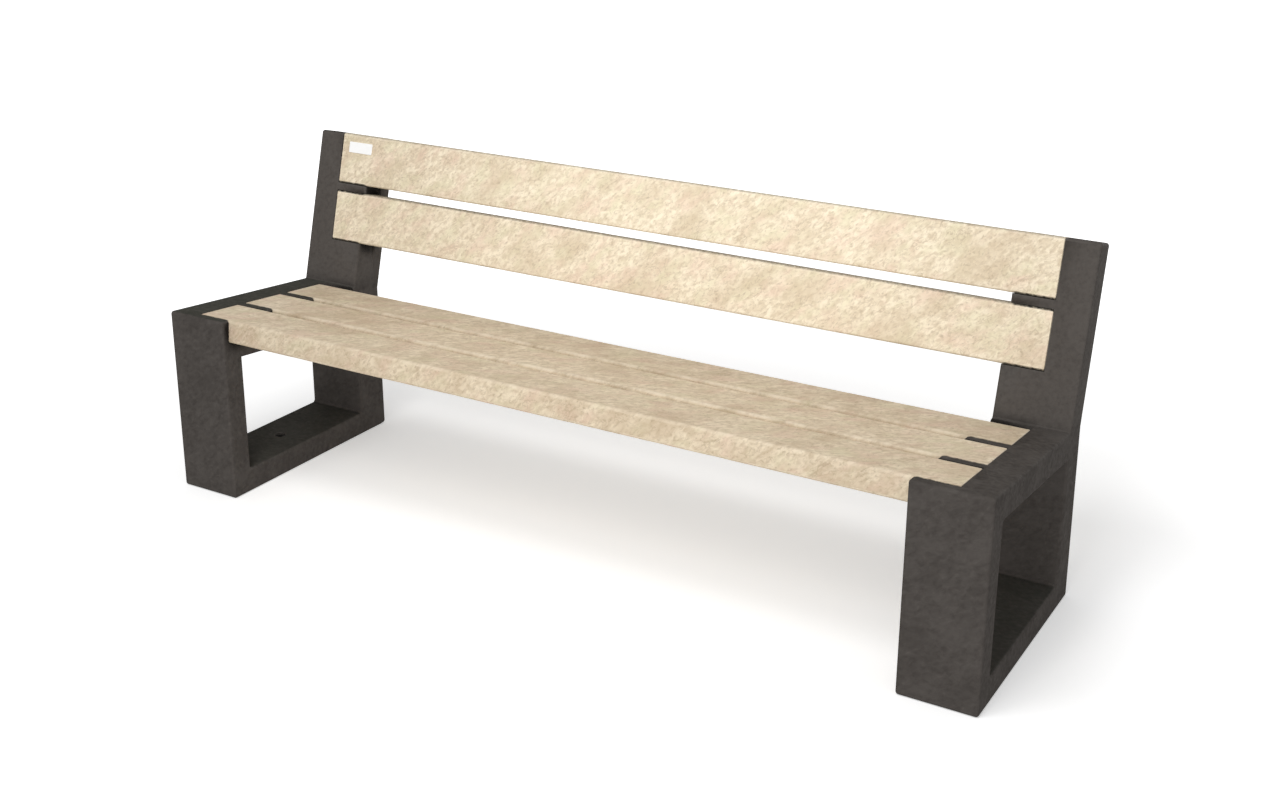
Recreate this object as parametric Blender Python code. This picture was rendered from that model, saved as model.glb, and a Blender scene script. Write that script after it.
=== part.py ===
"""Park bench with a back: two moulded end frames carry three seat slats and two back slats.

Metres, +Z up. X runs along the bench, -Y is the sitter's front, and the origin lies on the
ground under the middle of the bench's box.
"""

import math

import bmesh
import bpy
from mathutils import Matrix, Vector
from mathutils.geometry import tessellate_polygon

# Whole bench
BENCH_LENGTH = 2.000
SEAT_FRONT_HEIGHT = 0.444
SEAT_TILT = math.radians(5.15)
BACK_LEAN = math.radians(14.7)
SEAT_DEPTH = 0.466          # front face to the foot of the back, level
BACK_LENGTH = 0.384         # foot of the back to the top of the post, along the lean

# End frames, in side view from the front leg's front face
FRAME_WIDTH = 0.164
SLAT_INSET = 0.074          # solid strip of the frame past each slat end
LEG_DEPTH = 0.058
RUNNER_HEIGHT = 0.058
RAIL_DEPTH = 0.061
REAR_LEG_FRONT = 0.470
FOOT_DEPTH = 0.556
POST_KINK = (0.540, 0.393)
POST_TOP_DEPTH = 0.065
BEARER_DEPTH = 0.097        # seat or back face to the far side of the thickened strip
BEARER_FOOT = 0.564
BEARER_ROOT = 0.030         # depth at which a bearer starts inside the rail or the post
BEARER_SETBACK = 0.0005
CORNER_RADIUS = 0.007
CREASE_RADIUS = 0.004
OPENING_RADIUS = 0.006
RIM_RADIUS = 0.006

# Slats and their steel cores
SLAT_WIDTH = 0.126
SLAT_DEPTH = 0.054
SLAT_GAP = 0.020
FRONT_LIP = 0.0235
SLAT_EDGE_RADIUS = 0.006
SLAT_END_RADIUS = 0.004
CORE_WIDTH = 0.040
CORE_DEPTH = 0.020
CORE_WALL = 0.002
CORE_RADIUS = 0.003
CORE_SETBACK = 0.004        # from the slat's end

# Fixings
SCREW_SPREAD = 0.084        # between the two screws of one slat end
SCREW_RADIUS = 0.004
SCREW_LENGTH = 0.072
SCREW_TIP = 0.010
SCREW_POINT_RADIUS = 0.0005
FLANGE_RADIUS = 0.009
FLANGE_HEIGHT = 0.0025
HEX_ACROSS_FLATS = 0.013
HEX_HEIGHT = 0.0065
COUNTERBORE_RADIUS = 0.012
COUNTERBORE_DEPTH = 0.012
SCREW_SIDES = 12
ANCHOR_Y = 0.250            # from the front face, in the middle of the runner's width
ANCHOR_HOLE_RADIUS = 0.0135
SLEEVE_BORE_RADIUS = 0.0085
SLEEVE_RECESS = 0.006
SLEEVE_SIDES = 24

# Blank plate on the upper back slat
PLATE_WIDTH = 0.072
PLATE_HEIGHT = 0.027
PLATE_DEPTH = 0.0018
PLATE_EDGE_RADIUS = 0.0006
PLATE_FROM_SLAT_END = 0.023
PLATE_BELOW_SLAT_TOP = 0.020

# Clearances
TOUCH_GAP = 0.0003
POCKET_SIDE_GAP = 0.0010
POCKET_END_GAP = 0.0015
CUTTER_REACH = 0.020

# Facets
ARC_STEPS = 4
RIM_STEPS = 3
LEAST_RADIUS = 0.00001
SMOOTH_ANGLE = math.radians(30)

# Finishes: colour, roughness, metallic
SAND = ((0.78, 0.66, 0.48, 1.0), 0.75, 0.0)
ANTHRACITE = ((0.060, 0.056, 0.052, 1.0), 0.70, 0.0)
ZINC = ((0.55, 0.57, 0.58, 1.0), 0.45, 1.0)
STAINLESS = ((0.62, 0.61, 0.59, 1.0), 0.35, 1.0)
WHITE = ((0.90, 0.90, 0.88, 1.0), 0.35, 0.0)


class Bed:
    """A sloping line in side view that slats lie on, with distances along it and square to it."""

    def __init__(self, y, z, angle):
        self.start = Vector((y, z))
        self.angle = angle
        self.along = Vector((math.cos(angle), math.sin(angle)))
        self.out = Vector((-math.sin(angle), math.cos(angle)))

    def point(self, along, out):
        return self.start + self.along * along + self.out * out


def seat_and_back():
    seat = Bed(0.0, SEAT_FRONT_HEIGHT, -SEAT_TILT)
    foot = seat.point(SEAT_DEPTH / math.cos(SEAT_TILT), 0.0)
    back = Bed(foot.x, foot.y, math.pi / 2 - BACK_LEAN)
    return seat, back


SEAT, BACK = seat_and_back()


def slat_places():
    """Name, bed and middle line of every slat."""
    pitch = SLAT_WIDTH + SLAT_GAP
    first = FRONT_LIP + SLAT_WIDTH / 2
    top = BACK_LENGTH - SLAT_WIDTH / 2
    return (
        ("seat_slat_front", SEAT, first),
        ("seat_slat_middle", SEAT, first + pitch),
        ("seat_slat_rear", SEAT, first + 2 * pitch),
        ("back_slat_lower", BACK, top - pitch),
        ("back_slat_upper", BACK, top),
    )


def ring(corners, inset, steps):
    """Points of a closed outline, drawn in by inset towards its left, each corner an arc."""
    count = len(corners)
    places = [Vector(corner[:2]) for corner in corners]
    points = []
    for i, corner in enumerate(corners):
        here = places[i]
        into = (here - places[i - 1]).normalized()
        away = (places[(i + 1) % count] - here).normalized()
        turn = into.x * away.y - into.y * away.x
        side = 1.0 if turn > 0 else -1.0
        half = into.angle(away) / 2
        left = Vector((-into.y - away.y, into.x + away.x)).normalized()
        shifted = here + left * (inset / math.cos(half))
        radius = max(corner[2] - side * inset, LEAST_RADIUS)
        centre = shifted + left * (side * radius / math.cos(half))
        first = Vector((into.y, -into.x)) * (side * radius)
        for step in range(steps + 1):
            spin = Matrix.Rotation(side * 2 * half * step / steps, 2)
            points.append(centre + spin @ first)
    return points


def rounded_prism(loops, low, high):
    """Outlines in (y, z) swept along X from low to high; each loop is (corners, rim radius)."""
    mesh = bmesh.new()
    quarter = [math.pi / 2 * step / RIM_STEPS for step in range(RIM_STEPS + 1)]
    ends = []
    for corners, rim in loops:
        near = [(low + rim * (1 - math.cos(a)), rim * (1 - math.sin(a))) for a in quarter]
        far = [(low + high - x, inset) for x, inset in reversed(near)]
        sections = near + far if rim else [near[0], far[-1]]
        rows = []
        for x, inset in sections:
            row = [mesh.verts.new((x, p.x, p.y)) for p in ring(corners, inset, ARC_STEPS)]
            rows.append(row)
        for here, there in zip(rows, rows[1:]):
            for i in range(len(here)):
                mesh.faces.new((here[i - 1], here[i], there[i], there[i - 1]))
        ends.append((rows[0], rows[-1]))
    for end in (0, 1):
        outlines = [pair[end] for pair in ends]
        verts = [vert for outline in outlines for vert in outline]
        flat = [[Vector((0.0, vert.co.y, vert.co.z)) for vert in outline] for outline in outlines]
        for triangle in tessellate_polygon(flat):
            mesh.faces.new([verts[i] for i in triangle])
    bmesh.ops.recalc_face_normals(mesh, faces=mesh.faces)
    return mesh


def turned(rings, sides):
    """Rings of (z, radius, across flats) stacked along Z; a ring with flats is a hexagon."""
    mesh = bmesh.new()
    rows = []
    for z, radius, flats in rings:
        row = []
        for i in range(sides):
            angle = 2 * math.pi * i / sides
            if flats:
                radius = flats / 2 / math.cos((angle + math.pi / 6) % (math.pi / 3) - math.pi / 6)
            row.append(mesh.verts.new((radius * math.cos(angle), radius * math.sin(angle), z)))
        rows.append(row)
    for here, there in zip(rows, rows[1:]):
        for i in range(sides):
            mesh.faces.new((here[i - 1], here[i], there[i], there[i - 1]))
    mesh.faces.new(rows[0])
    mesh.faces.new(rows[-1])
    bmesh.ops.recalc_face_normals(mesh, faces=mesh.faces)
    return mesh


def rectangle(width, depth, radius, middle):
    """Corners of a rectangle in (y, z) about the point middle."""
    y, z = middle
    signs = ((-1, -1), (1, -1), (1, 1), (-1, 1))
    return [(y + i * width / 2, z + j * depth / 2, radius) for i, j in signs]


def finish_material(name, finish):
    colour, roughness, metallic = finish
    made = bpy.data.materials.new(name)
    made.use_nodes = True
    shader = made.node_tree.nodes["Principled BSDF"]
    shader.inputs["Base Color"].default_value = colour
    shader.inputs["Roughness"].default_value = roughness
    shader.inputs["Metallic"].default_value = metallic
    return made


def add_object(name, mesh, material, parent):
    data = bpy.data.meshes.new(name)
    mesh.to_mesh(data)
    mesh.free()
    data.shade_smooth()
    data.set_sharp_from_angle(angle=SMOOTH_ANGLE)
    made = bpy.data.objects.new(name, data)
    bpy.context.scene.collection.objects.link(made)
    if material:
        data.materials.append(material)
    else:
        made.hide_render = True
        made.display_type = "WIRE"
    made.parent = parent
    return made


def boolean(target, other, operation):
    modifier = target.modifiers.new(other.name, "BOOLEAN")
    modifier.object = other
    modifier.operation = operation
    modifier.solver = "EXACT"


def merged(meshes):
    """One mesh holding the closed bodies of several, each given with the matrix that places it."""
    whole = bmesh.new()
    for mesh, matrix in meshes:
        mesh.transform(matrix)
        data = bpy.data.meshes.new("merged")
        mesh.to_mesh(data)
        mesh.free()
        whole.from_mesh(data)
        bpy.data.meshes.remove(data)
    return whole


def on_bed(bed, along, out, x=0.0):
    """Matrix that lays a piece on a bed: local Y along the bed, local Z out of it."""
    y, z = bed.point(along, out)
    return Matrix.Translation((x, y, z)) @ Matrix.Rotation(bed.angle, 4, "X")


def frame_outline():
    top_front = BACK.point(BACK_LENGTH, 0.0)
    top_rear = BACK.point(BACK_LENGTH, -POST_TOP_DEPTH)
    return [
        (0.0, 0.0, CORNER_RADIUS),
        (FOOT_DEPTH, 0.0, CORNER_RADIUS),
        (*POST_KINK, CORNER_RADIUS),
        (*top_rear, CORNER_RADIUS),
        (*top_front, CORNER_RADIUS),
        (*BACK.start, CREASE_RADIUS),
        (0.0, SEAT_FRONT_HEIGHT, CORNER_RADIUS),
    ]


def opening_outline():
    def under_rail(y):
        return SEAT_FRONT_HEIGHT - y * math.tan(SEAT_TILT) - RAIL_DEPTH / math.cos(SEAT_TILT)

    return [
        (LEG_DEPTH, RUNNER_HEIGHT, OPENING_RADIUS),
        (LEG_DEPTH, under_rail(LEG_DEPTH), OPENING_RADIUS),
        (REAR_LEG_FRONT, under_rail(REAR_LEG_FRONT), OPENING_RADIUS),
        (REAR_LEG_FRONT, RUNNER_HEIGHT, OPENING_RADIUS),
    ]


def seat_bearer_outline():
    front = LEG_DEPTH / 2
    rear = (REAR_LEG_FRONT + POST_KINK[0]) / 2
    return [
        (*SEAT.point(front, -BEARER_DEPTH), CORNER_RADIUS),
        (*SEAT.point(rear, -BEARER_DEPTH), CORNER_RADIUS),
        (*SEAT.point(rear, -BEARER_ROOT), CORNER_RADIUS),
        (*SEAT.point(front, -BEARER_ROOT), CORNER_RADIUS),
    ]


def back_bearer_outline():
    top = BACK_LENGTH - BEARER_SETBACK
    inside_leg = (REAR_LEG_FRONT + POST_KINK[0]) / 2
    return [
        (inside_leg, BEARER_SETBACK, CORNER_RADIUS),
        (BEARER_FOOT, BEARER_SETBACK, CORNER_RADIUS),
        (*BACK.point(0.0, -BEARER_DEPTH), CORNER_RADIUS),
        (*BACK.point(top, -BEARER_DEPTH), CORNER_RADIUS),
        (*BACK.point(top, -BEARER_ROOT), CORNER_RADIUS),
        (*BACK.point(0.0, -BEARER_ROOT), CORNER_RADIUS),
    ]


def bench_depth():
    rear = back_bearer_outline()
    return max(point.x for point in ring(rear, 0.0, ARC_STEPS))


def screw_x():
    return BENCH_LENGTH / 2 - (SLAT_INSET + FRAME_WIDTH) / 2


def anchor_x():
    return (BENCH_LENGTH - FRAME_WIDTH) / 2


def screw_head_depth():
    """How far under a slat its screws' heads bear."""
    return BEARER_DEPTH - SLAT_DEPTH - COUNTERBORE_DEPTH


def screw_places(bed, along, side):
    for offset in (-SCREW_SPREAD / 2, SCREW_SPREAD / 2):
        yield on_bed(bed, along + offset, -SLAT_DEPTH - screw_head_depth(), side * screw_x())


def screw_hole():
    """Clearance hole from a counterbore up into the slat."""
    radius = SCREW_RADIUS + TOUCH_GAP
    return turned(
        [
            (-COUNTERBORE_DEPTH - CUTTER_REACH, COUNTERBORE_RADIUS, 0),
            (-TOUCH_GAP, COUNTERBORE_RADIUS, 0),
            (-TOUCH_GAP, radius, 0),
            (SCREW_LENGTH + TOUCH_GAP, radius, 0),
        ],
        SCREW_SIDES,
    )


def screw():
    """Coach screw with a flanged hexagon head; Z = 0 is the face that bears."""
    under = -2 * TOUCH_GAP
    flange = under - FLANGE_HEIGHT
    return turned(
        [
            (flange - HEX_HEIGHT, 0, HEX_ACROSS_FLATS),
            (flange, 0, HEX_ACROSS_FLATS),
            (flange, FLANGE_RADIUS, 0),
            (under, FLANGE_RADIUS, 0),
            (under, SCREW_RADIUS, 0),
            (SCREW_LENGTH - SCREW_TIP, SCREW_RADIUS, 0),
            (SCREW_LENGTH, SCREW_POINT_RADIUS, 0),
        ],
        SCREW_SIDES,
    )


def make_end_frame(side, name, material, bench):
    outer = BENCH_LENGTH / 2
    inner = outer - FRAME_WIDTH
    strip = outer - SLAT_INSET

    def sides(a, b):
        return min(side * a, side * b), max(side * a, side * b)

    loops = [(frame_outline(), RIM_RADIUS), (opening_outline(), RIM_RADIUS)]
    frame = add_object(name, rounded_prism(loops, *sides(inner, outer)), material, bench)

    bearer_sides = sides(inner + BEARER_SETBACK, strip)
    for label, outline in (("seat", seat_bearer_outline()), ("back", back_bearer_outline())):
        bearer = rounded_prism([(outline, RIM_RADIUS)], *bearer_sides)
        boolean(frame, add_object(f"{name}_{label}_bearer", bearer, None, bench), "UNION")

    pockets = []
    holes = []
    for _, bed, along in slat_places():
        width = SLAT_WIDTH + 2 * POCKET_SIDE_GAP
        depth = SLAT_DEPTH + TOUCH_GAP + CUTTER_REACH
        middle = CUTTER_REACH / 2 - (SLAT_DEPTH + TOUCH_GAP) / 2
        box = rectangle(width, depth, SLAT_EDGE_RADIUS, (0.0, middle))
        if along + SLAT_WIDTH / 2 > BACK_LENGTH - SLAT_GAP:
            box = [(y + (CUTTER_REACH if y > 0 else 0.0), z, r) for y, z, r in box]
        prism = rounded_prism([(box, 0.0)], *sides(inner - CUTTER_REACH, strip + POCKET_END_GAP))
        pockets.append((prism, on_bed(bed, along, 0.0)))
        holes += [(screw_hole(), place) for place in screw_places(bed, along, side)]
    anchor = turned(
        [
            (-CUTTER_REACH, ANCHOR_HOLE_RADIUS, 0),
            (RUNNER_HEIGHT + CUTTER_REACH, ANCHOR_HOLE_RADIUS, 0),
        ],
        SLEEVE_SIDES,
    )
    holes.append((anchor, Matrix.Translation((side * anchor_x(), ANCHOR_Y, 0.0))))
    boolean(frame, add_object(f"{name}_pockets", merged(pockets), None, bench), "DIFFERENCE")
    boolean(frame, add_object(f"{name}_holes", merged(holes), None, bench), "DIFFERENCE")


def make_anchor_sleeve(side, name, material, bench):
    radius = ANCHOR_HOLE_RADIUS - TOUCH_GAP
    rings = [
        (SLEEVE_RECESS, SLEEVE_BORE_RADIUS, 0),
        (SLEEVE_RECESS, radius, 0),
        (RUNNER_HEIGHT - SLEEVE_RECESS, radius, 0),
        (RUNNER_HEIGHT - SLEEVE_RECESS, SLEEVE_BORE_RADIUS, 0),
    ]
    mesh = turned(rings, SLEEVE_SIDES)
    caps = [face for face in mesh.faces if len(face.verts) == SLEEVE_SIDES]
    edges = list({edge for face in caps for edge in face.edges})
    bmesh.ops.delete(mesh, geom=caps, context="FACES_ONLY")
    bmesh.ops.bridge_loops(mesh, edges=edges)
    bmesh.ops.recalc_face_normals(mesh, faces=mesh.faces)
    sleeve = add_object(name, mesh, material, bench)
    sleeve.location = (side * anchor_x(), ANCHOR_Y, 0.0)


def make_slat(name, bed, along, material, bench):
    half = BENCH_LENGTH / 2 - SLAT_INSET
    section = rectangle(SLAT_WIDTH, SLAT_DEPTH, SLAT_EDGE_RADIUS, (0.0, -SLAT_DEPTH / 2))
    bore = rectangle(
        CORE_WIDTH + 2 * TOUCH_GAP, CORE_DEPTH + 2 * TOUCH_GAP, CORE_RADIUS, (0.0, -SLAT_DEPTH / 2)
    )
    loops = [(section, SLAT_END_RADIUS), (bore[::-1], 0.0)]
    slat = add_object(name, rounded_prism(loops, -half, half), material, bench)
    slat.matrix_local = on_bed(bed, along, 0.0)
    holes = [
        (screw_hole(), slat.matrix_local.inverted() @ place)
        for side in (-1, 1)
        for place in screw_places(bed, along, side)
    ]
    cutter = add_object(f"{name}_screw_holes", merged(holes), None, bench)
    cutter.matrix_local = slat.matrix_local
    boolean(slat, cutter, "DIFFERENCE")


def make_core(name, bed, along, material, bench):
    half = BENCH_LENGTH / 2 - SLAT_INSET - CORE_SETBACK
    middle = (0.0, -SLAT_DEPTH / 2)
    wall = 2 * CORE_WALL
    outside = rectangle(CORE_WIDTH, CORE_DEPTH, CORE_RADIUS, middle)
    inside = rectangle(CORE_WIDTH - wall, CORE_DEPTH - wall, CORE_RADIUS - CORE_WALL, middle)
    tube = rounded_prism([(outside, 0.0), (inside[::-1], 0.0)], -half, half)
    core = add_object(name, tube, material, bench)
    core.matrix_local = on_bed(bed, along, 0.0)


def make_screws(slat, bed, along, material, bench):
    for side, label in ((-1, "left"), (1, "right")):
        for number, place in enumerate(screw_places(bed, along, side), start=1):
            made = add_object(f"{slat}_screw_{label}_{number}", screw(), material, bench)
            made.matrix_local = place


def make_blank_plate(material, bench):
    """Thin unmarked plate near the left end of the upper back slat."""
    outline = rectangle(PLATE_HEIGHT, PLATE_DEPTH, PLATE_EDGE_RADIUS, (0.0, PLATE_DEPTH / 2 + TOUCH_GAP))
    left = SLAT_INSET + PLATE_FROM_SLAT_END - BENCH_LENGTH / 2
    mesh = rounded_prism([(outline, PLATE_EDGE_RADIUS)], left, left + PLATE_WIDTH)
    plate = add_object("blank_plate", mesh, material, bench)
    plate.matrix_local = on_bed(BACK, BACK_LENGTH - PLATE_BELOW_SLAT_TOP - PLATE_HEIGHT / 2, 0.0)


def main():
    for old in list(bpy.data.objects):
        bpy.data.objects.remove(old, do_unlink=True)

    sand = finish_material("sand_plastic", SAND)
    anthracite = finish_material("anthracite_plastic", ANTHRACITE)
    zinc = finish_material("galvanised_steel", ZINC)
    stainless = finish_material("stainless_steel", STAINLESS)
    white = finish_material("white_enamel", WHITE)

    bench = bpy.data.objects.new("bench", None)
    bpy.context.scene.collection.objects.link(bench)
    bench.location.y = -bench_depth() / 2

    for side, label in ((-1, "left"), (1, "right")):
        make_end_frame(side, f"end_frame_{label}", anthracite, bench)
        make_anchor_sleeve(side, f"anchor_sleeve_{label}", zinc, bench)
    for name, bed, along in slat_places():
        make_slat(name, bed, along, sand, bench)
        make_core(name.replace("slat", "core"), bed, along, zinc, bench)
        make_screws(name, bed, along, stainless, bench)
    make_blank_plate(white, bench)


main()
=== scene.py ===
import math

import bmesh
import bpy
from mathutils import Matrix, Vector, noise


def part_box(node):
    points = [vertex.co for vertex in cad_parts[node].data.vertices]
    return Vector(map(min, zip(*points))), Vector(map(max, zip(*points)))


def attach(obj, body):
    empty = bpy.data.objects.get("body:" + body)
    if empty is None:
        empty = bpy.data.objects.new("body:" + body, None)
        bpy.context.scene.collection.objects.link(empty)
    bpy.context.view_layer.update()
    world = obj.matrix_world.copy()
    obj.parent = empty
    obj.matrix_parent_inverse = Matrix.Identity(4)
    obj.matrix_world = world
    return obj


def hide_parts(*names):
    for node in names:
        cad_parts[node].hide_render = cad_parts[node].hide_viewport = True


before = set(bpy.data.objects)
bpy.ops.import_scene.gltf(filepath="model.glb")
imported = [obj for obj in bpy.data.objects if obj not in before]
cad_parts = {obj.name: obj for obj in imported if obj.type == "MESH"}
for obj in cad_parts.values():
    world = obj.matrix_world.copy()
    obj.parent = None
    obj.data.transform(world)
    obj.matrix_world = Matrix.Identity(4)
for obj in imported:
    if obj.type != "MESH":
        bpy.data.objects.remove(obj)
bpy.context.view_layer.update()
scene = bpy.context.scene
scene.view_settings.view_transform = "Standard"
print("frame loaded,", len(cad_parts), "nodes")


# small helpers for shader nodes

noiseMiddle = 0.5   # what noise averages to
openRays = 6        # rays that feel how open a spot is


def addNode(tree, kind, inputs=None, **settings):
    node = tree.nodes.new(kind)
    for name, value in settings.items():
        setattr(node, name, value)
    for name, value in (inputs or {}).items():
        if isinstance(value, bpy.types.NodeSocket):
            tree.links.new(value, node.inputs[name])
        else:
            node.inputs[name].default_value = value
    return node


def calc(tree, operation, first, second=0.0, clamp=False):
    node = addNode(tree, "ShaderNodeMath", {0: first, 1: second}, operation=operation, use_clamp=clamp)
    return node.outputs[0]


def calcVector(tree, operation, first, second):
    return addNode(tree, "ShaderNodeVectorMath", {0: first, 1: second}, operation=operation).outputs[0]


def remap(tree, value, low, high, toLow=0.0, toHigh=1.0):
    inputs = {0: value, 1: low, 2: high, 3: toLow, 4: toHigh}
    return addNode(tree, "ShaderNodeMapRange", inputs, interpolation_type="SMOOTHSTEP").outputs[0]


def mixColors(tree, amount, first, second, blend="MIX"):
    inputs = {0: amount, 6: first, 7: second}
    return addNode(tree, "ShaderNodeMix", inputs, data_type="RGBA", blend_type=blend).outputs[2]


def cloud(tree, place, cell, detail=2.0, rough=0.5, bend=0.0):  # noise with blobs about one cell across
    inputs = {"Vector": place, "Scale": 1 / cell, "Detail": detail, "Roughness": rough, "Distortion": bend}
    return addNode(tree, "ShaderNodeTexNoise", inputs).outputs


def drift(tree, place, cell, reach):  # place pushed about by noise, up to half of reach
    push = calcVector(tree, "SUBTRACT", cloud(tree, place, cell)[1], (noiseMiddle,) * 3)
    return calcVector(tree, "ADD", place, calcVector(tree, "MULTIPLY", push, (reach,) * 3))


def creaseLines(tree, place, cell, width):  # thin winding lines, where noise passes through its middle
    ridge = cloud(tree, place, cell, detail=3.0, rough=0.6)[0]
    ridge = calc(tree, "ABSOLUTE", calc(tree, "SUBTRACT", ridge, noiseMiddle))
    return remap(tree, ridge, 0.0, width, 1.0, 0.0)


def shifted(tree, place, seed):  # another part of the same pattern for each seed
    offset = addNode(tree, "ShaderNodeCombineXYZ", {"X": seed, "Y": seed, "Z": seed}).outputs[0]
    return calcVector(tree, "ADD", place, offset)


def openness(tree, reach, **settings):  # share of the light that gets to a spot, within reach
    inputs = {"Distance": reach}
    return addNode(tree, "ShaderNodeAmbientOcclusion", inputs, samples=openRays, **settings).outputs["AO"]


def objectPlace(tree):
    return addNode(tree, "ShaderNodeTexCoord").outputs["Object"]


def rgba(color):
    return (*color, 1.0)


def toned(color, tone):
    return rgba([part * share for part, share in zip(color, tone)])


def newGroup(name, inputs, outputs):
    tree = bpy.data.node_groups.new(name, "ShaderNodeTree")
    for socketName, kind, value in inputs:
        socket = tree.interface.new_socket(socketName, in_out="INPUT", socket_type="NodeSocket" + kind)
        if value is not None:
            socket.default_value = value
    for socketName, kind in outputs:
        tree.interface.new_socket(socketName, in_out="OUTPUT", socket_type="NodeSocket" + kind)
    return tree, addNode(tree, "NodeGroupInput").outputs, addNode(tree, "NodeGroupOutput").inputs


def newMaterial(name):
    material = bpy.data.materials.new(name)
    material.use_nodes = True
    tree = material.node_tree
    tree.nodes.clear()
    shader = addNode(tree, "ShaderNodeBsdfPrincipled")
    addNode(tree, "ShaderNodeOutputMaterial", {"Surface": shader.outputs[0]})
    return material, tree, shader


def feed(tree, shader, color, roughness, height, bump):
    relief = addNode(tree, "ShaderNodeBump", {"Height": height, "Strength": bump[0], "Distance": bump[1]})
    tree.links.new(color, shader.inputs["Base Color"])
    tree.links.new(roughness, shader.inputs["Roughness"])
    tree.links.new(relief.outputs[0], shader.inputs["Normal"])


# every grain or coat group puts these out
finishOutputs = [("Color", "Color"), ("Roughness", "Float"), ("Height", "Float")]

# sand coloured plank: short slanting flecks over tan, rosy and olive mottling
# a mix goes from the third number to the fourth as the noise goes from the first to the second
sandGrain = {
    "lean": 40,            # degrees between the flecks and the plank's length
    "streak": 0.0092,      # width of a fleck
    "stretch": 1.8,        # its length over its width
    "curl": 0.4,           # how far flecks bend and fork
    "mottle": 0.045,       # size of the small patches
    "patch": 0.10,         # size of the broad ones
    "fleck": 0.0055,       # width of a dark fleck
    "crease": 0.028,       # distance between dark lines
    "creaseWidth": 0.022,
    "warpCell": 0.025,
    "warp": 0.010,
    "lightMix": (0.315, 0.655, 0.0, 1.0),
    "tanMix": (0.45, 0.72, 0.0, 0.50),
    "rosyMix": (0.46, 0.72, 0.0, 0.50),
    "oliveMix": (0.46, 0.72, 0.0, 0.50),
    "patchMix": (0.45, 0.70, 0.0, 0.55),
    "fleckMix": (0.52, 0.76, 0.0, 0.55),
    "creaseMix": (0.40, 0.62, 0.0, 0.45),
    "roughMix": (0.3, 0.7, 0.72, 0.58),
    "fleckDepth": 0.5,     # relief of the flecks beside that of the streaks
    "light": (0.92, 0.80, 0.60),
    "middle": (0.70, 0.58, 0.41),
    "tan": (0.62, 0.49, 0.33),
    "rosy": (0.78, 0.56, 0.43),
    "olive": (0.74, 0.68, 0.45),
    "dark": (0.45, 0.345, 0.23),
}
sandTones = ("light", "middle", "tan", "rosy", "olive", "dark")


def makeSandGrain():
    look = sandGrain
    inputs = [("Place", "Vector", None), ("Seed", "Float", 0.0)]
    inputs += [(tone.title(), "Color", rgba(look[tone])) for tone in sandTones]
    tree, given, result = newGroup("sandGrain", inputs, finishOutputs)

    place = shifted(tree, given["Place"], given["Seed"])
    bent = drift(tree, place, look["warpCell"], look["warp"])
    turn = {"Vector": bent, "Angle": -math.radians(look["lean"])}
    leaned = addNode(tree, "ShaderNodeVectorRotate", turn, rotation_type="Z_AXIS").outputs[0]
    drawn = calcVector(tree, "MULTIPLY", leaned, (1 / look["stretch"], 1.0, 1.0))
    streak = cloud(tree, drawn, look["streak"], detail=3.0, rough=0.6, bend=look["curl"])[0]
    fleck = cloud(tree, drawn, look["fleck"], detail=2.0, rough=0.6, bend=look["curl"])[0]
    mottle = cloud(tree, drawn, look["mottle"], detail=3.0, rough=0.55)[1]
    mottle = addNode(tree, "ShaderNodeSeparateColor", {0: mottle}).outputs
    patch = cloud(tree, drawn, look["patch"], detail=3.0, rough=0.55)[0]
    crease = creaseLines(tree, drawn, look["crease"], look["creaseWidth"])
    crease = calc(tree, "MULTIPLY", crease, remap(tree, mottle[0], *look["creaseMix"]))

    color = mixColors(tree, remap(tree, streak, *look["lightMix"]), given["Middle"], given["Light"])
    laid = [
        (mottle[0], "tanMix", "Tan"),
        (mottle[1], "rosyMix", "Rosy"),
        (mottle[2], "oliveMix", "Olive"),
        (patch, "patchMix", "Tan"),
        (fleck, "fleckMix", "Dark"),
    ]
    for pattern, share, tone in laid:
        color = mixColors(tree, remap(tree, pattern, *look[share]), color, given[tone])
    color = mixColors(tree, crease, color, given["Dark"])
    tree.links.new(color, result["Color"])
    tree.links.new(remap(tree, streak, *look["roughMix"]), result["Roughness"])
    height = calc(tree, "ADD", streak, calc(tree, "MULTIPLY", fleck, look["fleckDepth"]))
    tree.links.new(height, result["Height"])
    return tree


# dark casting: fine even mottling, with a few faint creases
slateGrain = {
    "grain": 0.010,
    "stretch": 1.6,
    "curl": 0.3,
    "slant": (0.62, 0.70, 0.35),    # axis that the mottling is turned about
    "turn": 40,
    "patch": 0.055,
    "crease": 0.04,
    "creaseWidth": 0.016,
    "creaseShare": 0.15,
    "creaseDepth": 0.12,
    "warpCell": 0.04,
    "warp": 0.012,
    "middleMix": (0.26, 0.56, 0.0, 1.0),
    "paleMix": (0.50, 0.82, 0.0, 1.0),
    "palePatch": (0.48, 0.70, 0.0, 0.50),
    "darkPatch": (0.30, 0.46, 0.40, 0.0),
    "roughMix": (0.3, 0.7, 0.82, 0.66),
    "dark": (0.0545, 0.0482, 0.0438),
    "middle": (0.070, 0.0623, 0.0568),
    "pale": (0.0875, 0.0785, 0.0718),
}


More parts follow.
